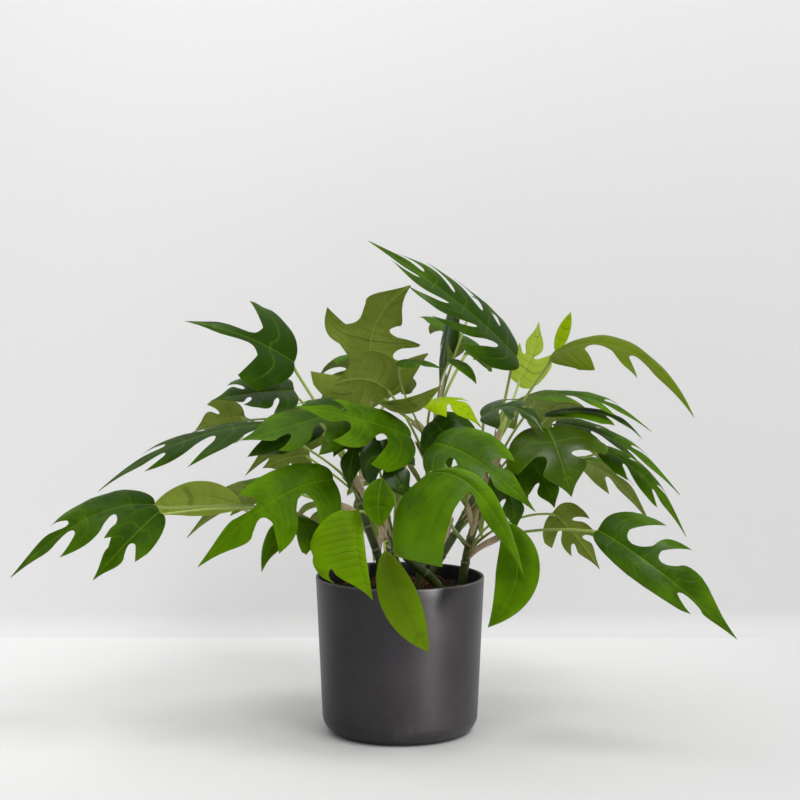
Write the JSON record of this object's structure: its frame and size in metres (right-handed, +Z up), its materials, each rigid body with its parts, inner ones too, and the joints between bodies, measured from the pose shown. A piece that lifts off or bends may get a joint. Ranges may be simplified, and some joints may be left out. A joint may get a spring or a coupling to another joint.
{
  "type": "potted mini monstera plant",
  "caption": "House plant with deeply cut green leaves on slim stalks, rooted in soil in a round charcoal cover pot that stands on its flat foot.",
  "frame": {"origin": "middle of the pot's flat foot, on the surface that it stands on", "axes": "+Z up along the pot's axis, +X along the plant's widest spread to its right, and the plant's front faces -Y"},
  "size_m": [0.7435, 0.4671, 0.5255],
  "materials": {
    "pot_charcoal": "satin charcoal with a fine grain and a slightly brighter lip",
    "potting_soil": "dark brown crumbly potting mix with fibres",
    "green_stem": "smooth olive green canes and paler petioles with node rings and papery sheaths",
    "leaf_green": "satin saturated green upper side, paler olive underside, fine side veins",
    "leaf_olive": "matt olive underside turned outwards, with darker veins",
    "leaf_young": "glossy lime green young leaf"
  },
  "bodies": {
    "root": {"pot": "pot_charcoal", "soil": "potting_soil", "cane_left": "green_stem", "cane_right": "green_stem", "cane_centre": "green_stem", "cane_back_left": "green_stem", "cane_back_right": "green_stem", "cane_front": "green_stem", "cane_low_left": "green_stem", "leaf_top": "leaf_green", "leaf_upper_back": "leaf_olive", "leaf_upper_left": "leaf_green", "leaf_left_high": "leaf_green", "leaf_left_behind": "leaf_olive", "leaf_left_long": "leaf_green", "leaf_left_front": "leaf_green", "leaf_middle_left": "leaf_green", "leaf_middle_right": "leaf_green", "leaf_front_middle": "leaf_green", "leaf_front_right": "leaf_green", "leaf_right_inner": "leaf_green", "leaf_front_left": "leaf_green", "leaf_low_left_behind": "leaf_green", "leaf_over_pot": "leaf_green", "leaf_front_small": "leaf_green", "leaf_low_left": "leaf_green", "leaf_far_left": "leaf_green", "leaf_far_left_front": "leaf_green", "leaf_far_left_behind": "leaf_olive", "leaf_left_inner": "leaf_olive", "leaf_middle_lime": "leaf_young", "leaf_middle_glossy": "leaf_green", "leaf_right_star": "leaf_green", "leaf_right_star_behind": "leaf_olive", "leaf_right_fan_a": "leaf_green", "leaf_right_fan_b": "leaf_green", "leaf_right_fan_c": "leaf_green", "leaf_right_fan_d": "leaf_green", "leaf_upper_right": "leaf_green", "leaf_upper_right_young": "leaf_young", "leaf_upper_right_lime": "leaf_young", "leaf_top_behind": "leaf_green", "leaf_top_small": "leaf_green", "leaf_middle_flat": "leaf_green", "leaf_middle_crescent": "leaf_olive", "leaf_middle_olive": "leaf_olive", "leaf_centre_behind": "leaf_green", "leaf_centre_left": "leaf_green", "leaf_front_glossy": "leaf_green", "leaf_far_right": "leaf_green", "leaf_far_right_behind": "leaf_olive", "leaf_back_a": "leaf_green", "leaf_back_b": "leaf_green", "leaf_back_c": "leaf_green", "leaf_back_d": "leaf_green", "leaf_back_e": "leaf_green", "leaf_back_f": "leaf_green", "leaf_back_g": "leaf_green", "leaf_back_h": "leaf_green", "leaf_back_i": "leaf_green"}
  },
  "joints": []
}
